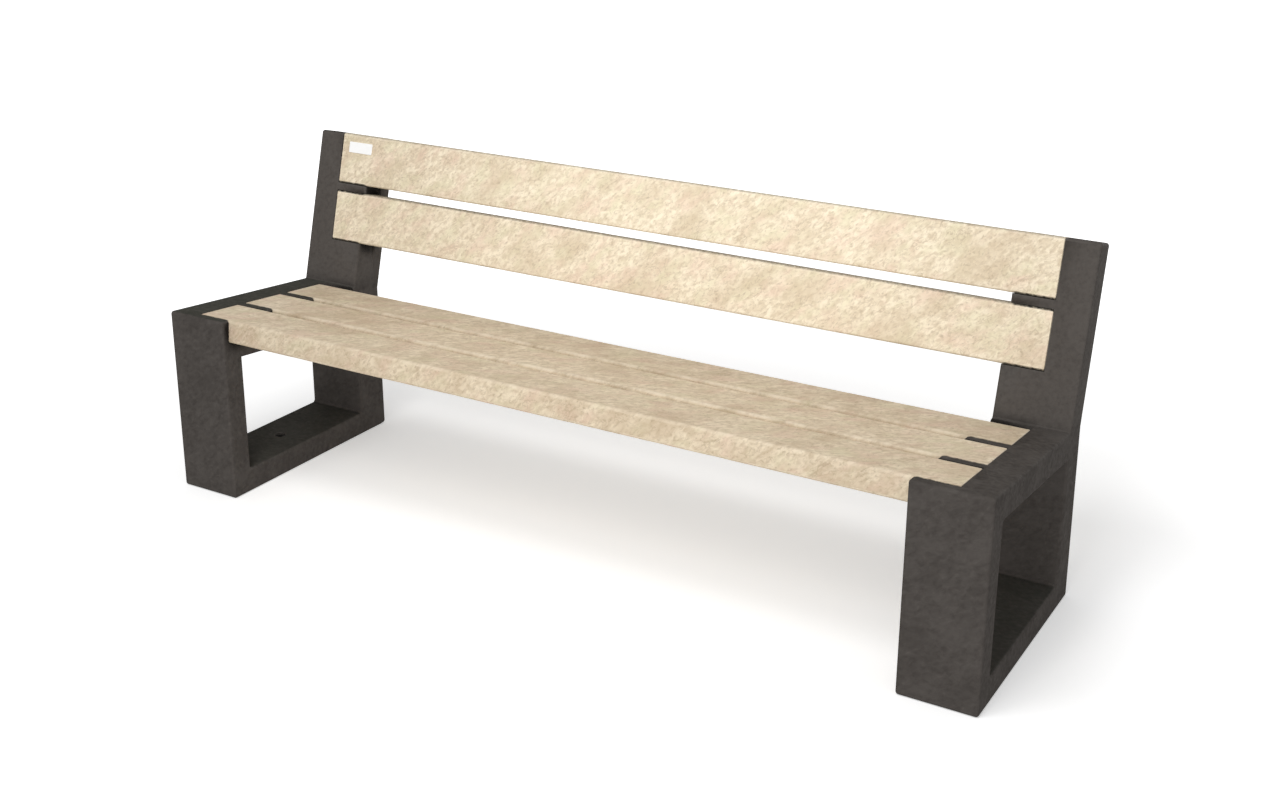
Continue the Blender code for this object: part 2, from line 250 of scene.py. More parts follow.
def makeSlateGrain():
    look = slateGrain
    inputs = [("Place", "Vector", None), ("Seed", "Float", 0.0)]
    inputs += [(tone.title(), "Color", rgba(look[tone])) for tone in ("dark", "middle", "pale")]
    tree, given, result = newGroup("slateGrain", inputs, finishOutputs)

    place = shifted(tree, given["Place"], given["Seed"])
    bent = drift(tree, place, look["warpCell"], look["warp"])
    turn = {"Vector": bent, "Axis": look["slant"], "Angle": math.radians(look["turn"])}
    leaned = addNode(tree, "ShaderNodeVectorRotate", turn, rotation_type="AXIS_ANGLE").outputs[0]
    drawn = calcVector(tree, "MULTIPLY", leaned, (1 / look["stretch"], 1.0, 1.0))
    grain = cloud(tree, drawn, look["grain"], detail=3.0, rough=0.6, bend=look["curl"])[0]
    patch = cloud(tree, drawn, look["patch"], detail=3.0)[0]
    crease = creaseLines(tree, drawn, look["crease"], look["creaseWidth"])

    color = mixColors(tree, remap(tree, grain, *look["middleMix"]), given["Dark"], given["Middle"])
    laid = [
        (grain, "paleMix", "Pale"),
        (patch, "palePatch", "Pale"),
        (patch, "darkPatch", "Dark"),
    ]
    for pattern, share, tone in laid:
        color = mixColors(tree, remap(tree, pattern, *look[share]), color, given[tone])
    color = mixColors(tree, calc(tree, "MULTIPLY", crease, look["creaseShare"]), color, given["Dark"])
    tree.links.new(color, result["Color"])
    tree.links.new(remap(tree, grain, *look["roughMix"]), result["Roughness"])
    height = calc(tree, "SUBTRACT", grain, calc(tree, "MULTIPLY", crease, look["creaseDepth"]))
    tree.links.new(height, result["Height"])
    return tree


# zinc coat: cloudy crystal flakes, with painted shade where little light gets in
zincCoat = {
    "cloud": 0.02,
    "flakeMix": (0.0, 1.0, 0.1, 0.7),
    "hazeMix": (0.45, 0.7, 0.0, 0.5),
    "roughMix": (0.3, 0.7, 0.34, 0.58),
    "flakeDepth": 0.2,
    "paintedShade": (0.010, 0.010, 0.009),
    "shadeReach": 0.03,
    "shadeOpen": (0.75, 1.0),       # light that gets in: from here to here the painted shade thins out
    "bump": (0.3, 0.0003),
}


def makeZincCoat():
    look = zincCoat
    inputs = [("Place", "Vector", None), ("Flake", "Float", None)]
    inputs += [("Pale", "Color", None), ("Dull", "Color", None)]
    tree, given, result = newGroup("zincCoat", inputs, finishOutputs)
    flakes = addNode(tree, "ShaderNodeTexVoronoi", {"Vector": given["Place"], "Scale": given["Flake"]})
    tone = addNode(tree, "ShaderNodeSeparateColor", {0: flakes.outputs["Color"]}).outputs[0]
    haze = cloud(tree, given["Place"], look["cloud"], detail=4.0, rough=0.6)[0]
    color = mixColors(tree, remap(tree, tone, *look["flakeMix"]), given["Pale"], given["Dull"])
    color = mixColors(tree, remap(tree, haze, *look["hazeMix"]), color, given["Dull"])
    tree.links.new(color, result["Color"])
    tree.links.new(remap(tree, haze, *look["roughMix"]), result["Roughness"])
    height = calc(tree, "ADD", haze, calc(tree, "MULTIPLY", tone, look["flakeDepth"]))
    tree.links.new(height, result["Height"])
    return tree


# a tint laid where a mask says, broken up by noise: dull ends, rubbed edges, painted shade, painted light
# on the posts
tintBreak = {"cell": 0.009, "mix": (0.25, 0.65, 0.35, 1.0)}


def makePatchyTint():
    inputs = [
        ("Color", "Color", None),
        ("Tint", "Color", None),
        ("Mask", "Float", None),
        ("Amount", "Float", None),
        ("Place", "Vector", None),
    ]
    tree, given, result = newGroup("patchyTint", inputs, [("Color", "Color")])
    broken = cloud(tree, given["Place"], tintBreak["cell"], detail=3.0, rough=0.6)[0]
    broken = remap(tree, broken, *tintBreak["mix"])
    mask = calc(tree, "MULTIPLY", given["Mask"], broken)
    mask = calc(tree, "MULTIPLY", mask, given["Amount"], clamp=True)
    tree.links.new(mixColors(tree, mask, given["Color"], given["Tint"]), result["Color"])
    return tree


groups = {
    "sandGrain": makeSandGrain(),
    "slateGrain": makeSlateGrain(),
    "zincCoat": makeZincCoat(),
    "patchyTint": makePatchyTint(),
}
print("finishes ready,", len(groups), "shader groups")


def useGroup(tree, name, inputs):
    return addNode(tree, "ShaderNodeGroup", inputs, node_tree=groups[name]).outputs


def layTints(tree, color, place, wearAndPaintedLight):
    for mask, tint, amount in wearAndPaintedLight:
        inputs = {"Color": color, "Tint": tint, "Mask": mask, "Amount": amount, "Place": place}
        color = useGroup(tree, "patchyTint", inputs)["Color"]
    return color


# places on the seat and the back, read from the frame

def middleOf(node):
    low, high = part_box(node)
    return (low + high) / 2


def slopeBetween(first, last):
    step = middleOf(last) - middleOf(first)
    return math.atan2(step.z, step.y)


seatSlope = slopeBetween("seat_slat_front", "seat_slat_rear")
backSlope = slopeBetween("back_slat_lower", "back_slat_upper")


def slopeFor(node):
    return seatSlope if node.startswith("seat") else backSlope


def layOn(node, slope):  # where a node lies on its slope: x along the bench, y up the slope, z out of it
    unturn = Matrix.Rotation(-slope, 3, "X")
    points = [unturn @ vert.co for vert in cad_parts[node].data.vertices]
    low = Vector([min(axis) for axis in zip(*points)])
    high = Vector([max(axis) for axis in zip(*points)])
    place = Matrix.Rotation(slope, 4, "X") @ Matrix.Translation((low + high) / 2)
    return place, high - low


def addPiece(name, mesh, place, material, node):
    piece = bpy.data.objects.new(name, mesh)
    scene.collection.objects.link(piece)
    piece.matrix_world = place
    mesh.materials.clear()
    mesh.materials.append(material)
    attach(piece, "root")
    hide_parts(node)
    return piece


def meshFrom(bm, name, sharp=None):  # sharp: degrees from which an edge is shaded sharp
    mesh = bpy.data.meshes.new(name)
    bm.to_mesh(mesh)
    bm.free()
    mesh.shade_smooth()
    if sharp is not None:
        mesh.set_sharp_from_angle(angle=math.radians(sharp))
    return mesh


def joinRings(bm, rings, closed=False):
    pairs = list(zip(rings, rings[1:]))
    if closed:
        pairs.append((rings[-1], rings[0]))
    for here, there in pairs:
        for i in range(len(here)):
            bm.faces.new((here[i - 1], here[i], there[i], there[i - 1]))


# planks: a rounded section swept along the bench, hollow for the steel core
plank = {
    "edgeRound": 0.006,
    "endRound": 0.002,
    "arcSteps": 6,
    "endSteps": 5,
    "support": 0.0012,              # close loop that keeps the flats flat beside a round
    "cuts": (5, 12),                # across a narrow and a broad side
    "step": 0.008,                  # between rings along the plank
    "coreHole": (0.0406, 0.0206),
    "coreRound": 0.003,
    "wave": 0.0005,                 # depth of the slight hollows of a moulded face
    "waves": (5, 16),               # hollows to a metre, along and round the plank
    "dent": 0.0007,                 # worn spots along the edges
    "dents": (22, 30),
    "dentFrom": 0.15,               # noise above which a spot is worn
    "covered": 0.090,               # length at each end that lies in the frame
    "fadeIn": 0.02,                 # beyond that, hollows and dents set in over this length
    "endWear": 400,                 # edge wear for each metre that an end is drawn in
    "screwHole": 0.0043,
    "screwTaper": 0.010,            # the hole's point
    "holeReach": 2,                 # cells of the skin on each side that make way for a hole
    "sharp": 50,
    "dullBy": (0.74, 0.715, 0.70),  # what is left of the colour at the ends
    "dullMiddle": 0.1,              # brightest here along the plank
    "dullEnds": (0.25, 0.95),       # from here to here, away from the brightest place, it gets duller
    "pocketShadeSide": (0.2, 0.5),       # painted shade in the groove beside a pocket, from here to here round the edge
    "pocketShadeFade": 0.01,
    "openTop": "back_slat_upper",   # has no pocket above it
    # colour of the painted shade beside the pockets
    "pocketShade": (0.03, 0.027, 0.022),
    "wearCell": 0.065,              # length of a rubbed stretch of an edge, or of one with painted shade
    "wornFrom": (0.36, 0.62),
    "rub": (0.90, 0.79, 0.61),
    # colour of the painted shade on the planks' rear and front sides
    "paintedShade": (0.16, 0.14, 0.10),
    "specular": 0.3,
    "bump": (0.35, 0.0008),
}

# each plank's own pattern and tone, and the shares of its dull ends, painted shade and rubbed edges
# the tone is partly painted light: the seat planks darker, the rear one darkest where the back shades it,
# and the back planks lighter, as if more light fell on them
# on the rear and front sides lies painted shade, the rear one in full from its full share on round the edge
# a third painted shade lies in dashes on the front side, in between the rubbed stretches
plankLooks = {
    "seat_slat_front": {
        "seed": 1.7, "tone": (0.835, 0.82, 0.82), "ends": 0.2,
        "rearShade": 0.6, "rearShadeFull": 0.3, "frontShade": 0.15, "line": 0.0, "rubbed": 0.35,
    },
    "seat_slat_middle": {
        "seed": 4.3, "tone": (0.84, 0.825, 0.83), "ends": 0.2,
        "rearShade": 0.6, "rearShadeFull": 0.3, "frontShade": 0.1, "line": 0.22, "rubbed": 0.75,
    },
    "seat_slat_rear": {
        "seed": 8.9, "tone": (0.80, 0.785, 0.785), "ends": 0.2,
        "rearShade": 0.6, "rearShadeFull": 0.3, "frontShade": 0.1, "line": 0.22, "rubbed": 0.75,
    },
    "back_slat_lower": {
        "seed": 12.1, "tone": (1.06, 1.085, 1.13), "ends": 0.6,
        "rearShade": 0.85, "rearShadeFull": 1.0, "frontShade": 0.2, "line": 0.0, "rubbed": 0.3,
    },
    "back_slat_upper": {
        "seed": 17.6, "tone": (1.075, 1.105, 1.15), "ends": 0.74,
        "rearShade": 0.6, "rearShadeFull": 1.0, "frontShade": 0.2, "line": 0.0, "rubbed": 0.3,
    },
}


def sectionPoints(width, depth, radius):
    # up the front, over the face, down the rear, back below: spot, outward, way round, edge,
    # and the masks of painted shade on the rear side and on the front side
    points = []
    way = 0.0
    for side in range(4):
        quarter = math.pi - side * math.pi / 2
        out = Vector((math.cos(quarter), math.sin(quarter)))
        on = Vector((out.y, -out.x))
        broad = side % 2
        reach = (depth if broad else width) / 2
        run = (width if broad else depth) - 2 * radius
        inner = run / 2 - plank["support"]
        cuts = plank["cuts"][broad]
        stops = [-run / 2] + [-inner + 2 * inner * i / cuts for i in range(cuts + 1)] + [run / 2]
        rearShade = 1.0 if side == 2 else 0.0
        frontShade = 1.0 if side == 0 else 0.0
        for i, stop in enumerate(stops):
            edge = 1.0 if i in (0, len(stops) - 1) else 0.0
            points.append((out * reach + on * stop, out, way + stop + run / 2, edge, rearShade, frontShade))
        way += run
        centre = out * (reach - radius) + on * (run / 2)
        for i in range(1, plank["arcSteps"]):
            angle = math.pi / 2 * i / plank["arcSteps"]
            bend = out * math.cos(angle) + on * math.sin(angle)
            rearShadeHere = math.sin(angle) if side == 1 else rearShade * math.cos(angle)
            frontShadeHere = math.sin(angle) if side == 3 else frontShade * math.cos(angle)
            points.append((centre + bend * radius, bend, way + radius * angle, 1.0, rearShadeHere, frontShadeHere))
        way += radius * math.pi / 2
    return points, way


def ringStops(half):  # along the plank: place, and how far the section is drawn in
    stops = []
    radius = plank["endRound"]
    for i in range(plank["endSteps"]):
        angle = math.pi / 2 * (1 - i / plank["endSteps"])
        stops.append((-half + radius * (1 - math.sin(angle)), radius * (1 - math.cos(angle))))
    inner = half - radius
    count = round(2 * inner / plank["step"])
    middle = [(-inner + 2 * inner * i / count, 0.0) for i in range(count + 1)]
    return stops + middle + [(-x, drawn) for x, drawn in reversed(stops)]


def sag(x, way, edge, half, seed):  # slight hollows and edge dents, none inside the frame's pockets
    free = max(0.0, min(1.0, (half - plank["covered"] - abs(x)) / plank["fadeIn"]))
    along, around = plank["waves"]
    hollow = 0.5 + 0.5 * noise.noise(Vector((x * along + seed, way * around, seed)))
    along, around = plank["dents"]
    wearAndPaintedLight = noise.noise(Vector((x * along, way * around + seed, seed * 2)))
    dent = max(0.0, wearAndPaintedLight - plank["dentFrom"]) * edge
    return free * (plank["wave"] * hollow + plank["dent"] * dent)


def screwHoles(node, place):  # where screws enter a plank and how far, in its own directions
    holes = []
    for screw in sorted(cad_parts):
        if screw.startswith(node + "_screw_"):
            screwPlace, screwSize = layOn(screw, slopeFor(node))
            middle = place.inverted() @ screwPlace.translation
            holes.append((middle.x, middle.y, middle.z + screwSize.z / 2))
    return holes


def drillHole(bm, rings, mouth, tip):  # a blind hole in place of a few cells of the skin
    reach = plank["holeReach"]
    here = min(range(len(rings)), key=lambda i: abs(rings[i][0].co.x - mouth.x))
    spots = [i for i, vert in enumerate(rings[here]) if vert.is_valid]
    around = min(spots, key=lambda i: (rings[here][i].co - mouth).length)

    def skin(along, across):
        return rings[here + along][around + across]

    rim = [skin(reach, i) for i in range(-reach, reach)]
    rim += [skin(-i, reach) for i in range(-reach, reach)]
    rim += [skin(-reach, -i) for i in range(-reach, reach)]
    rim += [skin(i, -reach) for i in range(-reach, reach)]
    aside = (skin(0, reach).co - skin(0, -reach).co).normalized()
    inner = range(1 - reach, reach)
    bmesh.ops.delete(bm, geom=[skin(i, j) for i in inner for j in inner], context="VERTS")

    loops = [rim]
    for z in (mouth.z, tip - plank["screwTaper"]):
        loop = []
        for i, vert in enumerate(rim):
            angle = 2 * math.pi * i / len(rim) - math.pi / 4
            out = Vector((math.cos(angle), 0.0, 0.0)) + aside * math.sin(angle)
            spot = Vector((mouth.x, mouth.y, z)) + out * plank["screwHole"]
            loop.append(bm.verts.new(spot, vert))
        loops.append(loop)
    joinRings(bm, loops)
    point = bm.verts.new((mouth.x, mouth.y, tip))
    for i in range(len(rim)):
        bm.faces.new((loops[-1][i - 1], loops[-1][i], point))


def sweepPlank(size, seed, holes):
    bm = bmesh.new()
    names = ("edge", "rearShade", "frontShade", "along", "around")
    layers = {name: bm.verts.layers.float.new(name) for name in names}
    half = size.x / 2
    outer, girth = sectionPoints(size.y, size.z, plank["edgeRound"])
    hole, _ = sectionPoints(*plank["coreHole"], plank["coreRound"])

    def addVert(x, spot, **marks):
        vert = bm.verts.new((x, spot.x, spot.y))
        for name, value in marks.items():
            vert[layers[name]] = value
        return vert

    rings = []
    for x, drawn in ringStops(half):
        ring = []
        along = x + math.copysign(drawn, x)
        endEdge = min(1.0, drawn * plank["endWear"])
        for spot, out, way, edge, rearShade, frontShade in outer:
            place = spot - out * (drawn + sag(x, way, edge, half, seed))
            marks = {"along": along, "around": way, "edge": max(edge, endEdge), "rearShade": rearShade, "frontShade": frontShade}
            ring.append(addVert(x, place, **marks))
        rings.append(ring)
    skinWays = [point[2] for point in outer]
    for end in (half, -half):
        past = end + math.copysign(size.z / 2, end)
        rings.append([addVert(end, point[0], along=past, around=way) for point, way in zip(hole, skinWays)])
    joinRings(bm, rings, closed=True)
    for x, y, tip in holes:
        drillHole(bm, rings[:-2], Vector((x, y, -size.z / 2)), tip)
    bmesh.ops.recalc_face_normals(bm, faces=bm.faces)

    unrolled = bm.loops.layers.uv.new("unrolled")
    for face in bm.faces:
        ways = [loop.vert[layers["around"]] for loop in face.loops]
        seam = max(ways) - min(ways) > girth / 2
        for loop, way in zip(face.loops, ways):
            over = girth if seam and way < girth / 2 else 0.0
            loop[unrolled].uv = (loop.vert[layers["along"]], way + over)
    return bm


def painted(tree, name):  # a value that the sweep left on the skin
    return addNode(tree, "ShaderNodeAttribute", attribute_name=name).outputs["Fac"]


def plankMaterial(node, half):
    look = plankLooks[node]
    material, tree, shader = newMaterial("sandPlank_" + node)
    place = addNode(tree, "ShaderNodeUVMap", uv_map="unrolled").outputs[0]
    inputs = {"Place": place, "Seed": look["seed"]}
    # the tone, partly painted light, goes into every colour of the grain
    for tone in sandTones:
        inputs[tone.title()] = toned(sandGrain[tone], look["tone"])
    grain = useGroup(tree, "sandGrain", inputs)
    along = addNode(tree, "ShaderNodeSeparateXYZ", {0: place}).outputs["X"]
    away = calc(tree, "ABSOLUTE", calc(tree, "SUBTRACT", along, plank["dullMiddle"]))
    toEnd = remap(tree, away, *plank["dullEnds"])
    # painted shade on the rear side and its edge, and on the front side towards the ends
    rearShade = painted(tree, "rearShade")
    frontShade = painted(tree, "frontShade")
    pocket = half - plank["covered"]
    inPocket = remap(tree, calc(tree, "ABSOLUTE", along), pocket, pocket + plank["pocketShadeFade"])
    # painted shade in the groove between the plank and its pocket
    shadeMask = frontShade if node == plank["openTop"] else calc(tree, "MAXIMUM", rearShade, frontShade)
    pocketShade = remap(tree, shadeMask, *plank["pocketShadeSide"])
    pocketShade = calc(tree, "MULTIPLY", pocketShade, inPocket)
    wear = remap(tree, cloud(tree, place, plank["wearCell"])[0], *plank["wornFrom"])
    rubbed = calc(tree, "MULTIPLY", painted(tree, "edge"), wear)
    # painted shade in dashes on the front side, between the rubbed stretches
    line = calc(tree, "MULTIPLY", frontShade, calc(tree, "SUBTRACT", 1.0, wear))
    frontShade = calc(tree, "MULTIPLY", frontShade, toEnd)
    rearShade = remap(tree, rearShade, 0.0, look["rearShadeFull"])
    wearAndPaintedLight = [
        (toEnd, mixColors(tree, 1.0, grain["Color"], rgba(plank["dullBy"]), "MULTIPLY"), look["ends"]),
        (rubbed, toned(plank["rub"], look["tone"]), look["rubbed"]),
        (rearShade, rgba(plank["paintedShade"]), look["rearShade"]),
        (frontShade, rgba(plank["paintedShade"]), look["frontShade"]),
        (line, rgba(plank["paintedShade"]), look["line"]),
        (pocketShade, rgba(plank["pocketShade"]), 1.0),
    ]
    color = layTints(tree, grain["Color"], place, wearAndPaintedLight)
    shader.inputs["Specular IOR Level"].default_value = plank["specular"]
    feed(tree, shader, color, grain["Roughness"], grain["Height"], plank["bump"])
    return material


for node, look in plankLooks.items():
    place, size = layOn(node, slopeFor(node))
    swept = sweepPlank(size, look["seed"], screwHoles(node, place))
    mesh = meshFrom(swept, node + "_plank", plank["sharp"])
    addPiece(node + "_plank", mesh, place, plankMaterial(node, size.x / 2), node)
print("planks swept,", len(plankLooks))


# end frames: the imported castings, welded and shaded smooth
casting = {
    "weld": 0.00002,
    "flat": 0.6,                    # degrees within which faces count as one
    "sharp": 35,
    "edgeReach": 0.006,
    "edgeOpen": (0.45, 0.95),       # light let in from inside: from here to here the edge is less rubbed
    "rub": (0.105, 0.096, 0.088),
    "rubAmount": 0.4,
    "crevice": (0.010, 0.009, 0.008),   # painted shade where planks shut the casting in
    "creviceReach": 0.035,
    "creviceShadeShut": (0.05, 0.34),    # share of the light that they take: from here to here it darkens
    "creviceShadeAmount": 0.92,
    "creviceShadeAbove": (0.07, 0.12),   # none at the feet
    "holeShadeOpen": (0.30, 0.50),       # light inside the casting's own holes, which get painted shade too
    "postLight": (0.098, 0.088, 0.080),    # painted light: the posts lighter, as if more light fell on them
    "postLightAmount": 0.7,
    "postLightBehind": (0.05, 0.11),
    "postLightAbove": (0.39, 0.43),
    "paintedTopShade": (0.030, 0.036, 0.027),  # painted shade on what faces up
    "facingUp": (0.85, 0.97),
    "runnerTop": (0.07, 0.12),
    "runnerTopShade": 0.45,
    "specular": 0.012,
    "bump": (0.3, 0.0008),
}

castingLooks = {                    # each frame's own pattern and the painted shade on its seat rail
    "left": {"seed": 0.0, "railTopShade": 0.6},
    "right": {"seed": 3.7, "railTopShade": 0.0},
}


def castingMesh(node):
    bm = bmesh.new()
    bm.from_mesh(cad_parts[node].data)
    bmesh.ops.remove_doubles(bm, verts=bm.verts, dist=casting["weld"])
    bmesh.ops.dissolve_limit(
        bm,
        angle_limit=math.radians(casting["flat"]),
        verts=bm.verts,
        edges=bm.edges,
        use_dissolve_boundaries=False,
    )
    bmesh.ops.triangulate(bm, faces=[face for face in bm.faces if len(face.verts) > 4])
    return meshFrom(bm, node + "_casting", casting["sharp"])


def castingMaterial(side):
    look = castingLooks[side]
    material, tree, shader = newMaterial("slateCasting_" + side)
    place = objectPlace(tree)
    grain = useGroup(tree, "slateGrain", {"Place": place, "Seed": look["seed"]})
    _, behind, height = addNode(tree, "ShaderNodeSeparateXYZ", {0: place}).outputs
    # painted light: the posts lighter, as if more light fell on them
    litPost = remap(tree, height, *casting["postLightAbove"])
    litPost = calc(tree, "MULTIPLY", litPost, remap(tree, behind, *casting["postLightBehind"]))
    # painted shade on what faces up: the runners' tops, and the left seat rail
    normal = addNode(tree, "ShaderNodeNewGeometry").outputs["True Normal"]
    upward = addNode(tree, "ShaderNodeSeparateXYZ", {0: normal}).outputs["Z"]
    topShade = remap(tree, height, *casting["runnerTop"], casting["runnerTopShade"], look["railTopShade"])
    topShade = calc(tree, "MULTIPLY", topShade, remap(tree, upward, *casting["facingUp"]))
    inner = openness(tree, casting["edgeReach"], inside=True)
    edge = remap(tree, inner, *casting["edgeOpen"], 1.0, 0.0)
    # painted shade where the planks take light from the casting, and in the casting's own holes
    alone = openness(tree, casting["creviceReach"], only_local=True)
    fitted = openness(tree, casting["creviceReach"])
    shadeMask = calc(tree, "SUBTRACT", alone, fitted)
    crevice = remap(tree, shadeMask, *casting["creviceShadeShut"], 0.0, casting["creviceShadeAmount"])
    crevice = calc(tree, "MULTIPLY", crevice, remap(tree, height, *casting["creviceShadeAbove"]))
    hole = remap(tree, alone, *casting["holeShadeOpen"], casting["creviceShadeAmount"], 0.0)
    crevice = calc(tree, "MAXIMUM", crevice, hole)
    wearAndPaintedLight = [
        (litPost, rgba(casting["postLight"]), casting["postLightAmount"]),
        (topShade, rgba(casting["paintedTopShade"]), 1.0),
        (edge, rgba(casting["rub"]), casting["rubAmount"]),
    ]
    color = layTints(tree, grain["Color"], place, wearAndPaintedLight)
    color = mixColors(tree, crevice, color, rgba(casting["crevice"]))
    shader.inputs["Specular IOR Level"].default_value = casting["specular"]
    feed(tree, shader, color, grain["Roughness"], grain["Height"], casting["bump"])
    return material


for side in castingLooks:
    node = "end_frame_" + side
    mesh = castingMesh(node)
    piece = addPiece(
        node + "_casting", mesh, Matrix.Identity(4), castingMaterial(side), node,
    )
    even = piece.modifiers.new("evenShading", "WEIGHTED_NORMAL")
    even.keep_sharp = True
print("end frames cast")


# turned pieces: rings of points about an upright axis
def turnRings(bm, rings, sides):
    made = []
    for z, radius in rings:
        ring = []
        for i in range(sides):
            angle = 2 * math.pi * i / sides
            reach = radius(angle) if callable(radius) else radius
            ring.append(bm.verts.new((reach * math.cos(angle), reach * math.sin(angle), z)))
        made.append(ring)
    joinRings(bm, made)
    return made


# coach screws: flanged hexagon head, chamfered, with a rolled thread to the point
coachScrew = {
    "sides": 24,
    "length": 0.072,                # from under the flange to the point
    "shank": 0.004,
    "root": 0.0030,
    "plain": 0.012,                 # unthreaded length under the head
    "pitch": 0.0036,
    "ringsPerPitch": 6,
    "tip": 0.011,
    "tipCurve": 0.8,                # 1 is a plain cone, less is fuller
    "tipLeast": 0.0004,             # radius below which the point closes
    "tipGap": 0.0002,
    "across": 0.013,
    "hexHeight": 0.0065,
    "dish": (0.0003, 0.30, 0.34),   # depth of the hollow in the head, and its radii over the width across
    "cornerCut": 1.02,              # how far the head's top reaches towards its corners
    "chamfer": 0.0007,
    "fillet": (0.0006, 0.0004),     # height and reach at the foot of the hexagon
    "flange": 0.009,
    # steps down from that foot, and out past the radius of the flange and of the shank
    "flangeShape": ((0.0006, -0.0004), (0.0011, 0.0), (0.0022, 0.0), (0.0025, -0.0003)),
    "neckShape": ((0.0025, 0.0005), (0.0031, 0.0)),
    "sharp": 40,
    "lathe": (1.0, 1.0, 6.0),       # tool marks run round the screw
    "markCell": 0.0015,
    "hazeCell": 0.006,
    "hazeMix": (0.35, 0.7, 0.0, 1.0),
    "roughMix": (0.3, 0.7, 0.32, 0.50),
    "pale": (0.50, 0.49, 0.475),
    "dull": (0.31, 0.305, 0.30),
    "bump": (0.25, 0.0002),
}


def screwMesh(size):
    look = coachScrew
    top = size.z / 2                # the point; the head is at the low end
    under = top - look["length"]
    headTop = -size.z / 2
    foot = headTop + look["hexHeight"]

    def hexagon(angle):
        return look["across"] / 2 / math.cos((angle + math.pi / 6) % (math.pi / 3) - math.pi / 6)

    def spread(angle):
        return hexagon(angle) + look["fillet"][1]

    def chamfered(angle):
        return min(hexagon(angle), look["across"] / 2 * look["cornerCut"])

    def thread(z):
        toTip = min(1.0, (top - z) / look["tip"])
        threaded = min(1.0, max(0.0, (z - under - look["plain"]) / look["pitch"]))

        def radius(angle):
            phase = (z / look["pitch"] - angle / (2 * math.pi)) % 1.0
            crest = 1 - abs(2 * phase - 1)
            depth = (look["shank"] - look["root"]) * threaded * (1 - crest)
            return max(look["tipLeast"], (look["shank"] - depth) * toTip ** look["tipCurve"])

        return radius

    bm = bmesh.new()
    dishDepth, dishFloor, dishRim = look["dish"]
    rings = [
        (headTop + dishDepth, look["across"] * dishFloor),
        (headTop, look["across"] * dishRim),
        (headTop, chamfered),
        (headTop + look["chamfer"], hexagon),
        (foot - look["fillet"][0], hexagon),
        (foot, spread),
    ]
    rings += [(foot + below, look["flange"] + out) for below, out in look["flangeShape"]]
    rings += [(foot + below, look["shank"] + out) for below, out in look["neckShape"]]
    step = look["pitch"] / look["ringsPerPitch"]
    count = int((top - look["tipGap"] - under - look["plain"]) / step)
    for i in range(count + 1):
        z = under + look["plain"] + step * i
        rings.append((z, thread(z)))
    made = turnRings(bm, rings, look["sides"])
    bm.faces.new(made[0])
    point = bm.verts.new((0.0, 0.0, top))
    for i in range(look["sides"]):
        bm.faces.new((made[-1][i - 1], made[-1][i], point))
    bmesh.ops.recalc_face_normals(bm, faces=bm.faces)
    return bm


def steelMaterial():
    look = coachScrew
    material, tree, shader = newMaterial("plainSteel")
    place = objectPlace(tree)
    lathe = calcVector(tree, "MULTIPLY", place, look["lathe"])
    marks = cloud(tree, lathe, look["markCell"], detail=4.0, rough=0.65)[0]
    haze = cloud(tree, place, look["hazeCell"], detail=3.0)[0]
    color = mixColors(tree, remap(tree, haze, *look["hazeMix"]), rgba(look["pale"]), rgba(look["dull"]))
    shader.inputs["Metallic"].default_value = 1.0
    feed(tree, shader, color, remap(tree, marks, *look["roughMix"]), marks, look["bump"])
    return material


steel = steelMaterial()
screwNodes = sorted(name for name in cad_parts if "_screw_" in name)
for node in screwNodes:
    place, size = layOn(node, slopeFor(node))
    mesh = meshFrom(screwMesh(size), node + "_steel", coachScrew["sharp"])
    addPiece(node + "_steel", mesh, place, steel, node)
print("screws turned,", len(screwNodes))


# anchor sleeves: zinc coated bushes with chamfered mouths, dull with age, with painted shade in the bore
sleeve = {
    "sides": 48,
    "bore": 0.0085,
    "chamfer": 0.0011,
    "sharp": 40,
    "flake": 0.004,
    "pale": (0.26, 0.26, 0.265),
    "dull": (0.10, 0.10, 0.105),
    "shadeShare": 1.0,
}

# tubes inside the planks, with a smaller share of painted shade
core = {
    "flake": 0.012,
    "pale": (0.62, 0.63, 0.64),
    "dull": (0.40, 0.41, 0.43),
    "shadeShare": 0.3,
}


def sleeveMesh(size):
    outer = size.x / 2
    top = size.z / 2
    bore = sleeve["bore"]
    cut = sleeve["chamfer"]
    bm = bmesh.new()
    rings = [(-top, bore + cut), (-top, outer - cut), (-top + cut, outer), (top - cut, outer)]
    rings += [(top, outer - cut), (top, bore + cut), (top - cut, bore), (-top + cut, bore)]
    made = turnRings(bm, rings, sleeve["sides"])
    joinRings(bm, [made[-1], made[0]])
    bmesh.ops.recalc_face_normals(bm, faces=bm.faces)
    return bm


def zincMaterial(name, look):
    material, tree, shader = newMaterial(name)
    inputs = {"Place": objectPlace(tree), "Flake": 1 / look["flake"]}
    inputs["Pale"] = rgba(look["pale"])
    inputs["Dull"] = rgba(look["dull"])
    coat = useGroup(tree, "zincCoat", inputs)
    # painted shade where little light gets in
    light = openness(tree, zincCoat["shadeReach"])
    shadeMask = remap(tree, light, *zincCoat["shadeOpen"], look["shadeShare"], 0.0)
    color = mixColors(tree, shadeMask, coat["Color"], rgba(zincCoat["paintedShade"]))
    shader.inputs["Metallic"].default_value = 1.0
    feed(tree, shader, color, coat["Roughness"], coat["Height"], zincCoat["bump"])
    return material


sleeveZinc = zincMaterial("zincSleeve", sleeve)
sleeveNodes = ["anchor_sleeve_left", "anchor_sleeve_right"]
for node in sleeveNodes:
    place, size = layOn(node, 0.0)
    mesh = meshFrom(sleeveMesh(size), node + "_bush", sleeve["sharp"])
    addPiece(node + "_bush", mesh, place, sleeveZinc, node)

